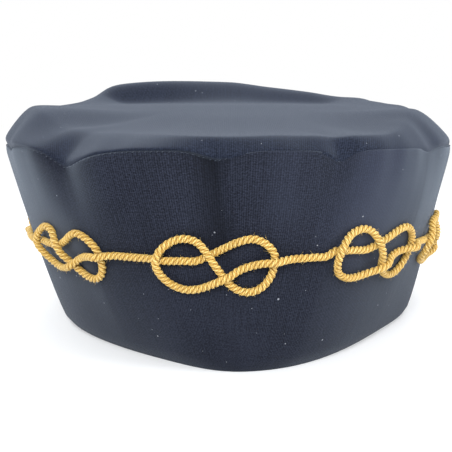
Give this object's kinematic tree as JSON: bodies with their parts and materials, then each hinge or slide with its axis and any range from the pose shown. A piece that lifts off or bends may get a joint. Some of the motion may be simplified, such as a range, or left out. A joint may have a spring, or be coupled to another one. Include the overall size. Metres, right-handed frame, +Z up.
{
  "type": "masonic hat",
  "caption": "Soft navy-black cloth ceremonial cap: a flared band, a puffed top and a gold cord tied in flat love knots.",
  "frame": {"origin": "on the surface that the rim stands on, below the middle of the hat's box", "axes": "+Z up towards the top, -Y towards the front, +X towards the right of someone who looks at the front"},
  "size_m": [0.2094, 0.2272, 0.117],
  "materials": {
    "band_cloth": "matte",
    "top_cloth": "matte",
    "gold_thread": "satin"
  },
  "bodies": {
    "root": {"band": "band_cloth", "top_panel": "top_cloth", "gold_cord": "gold_thread"}
  },
  "joints": []
}
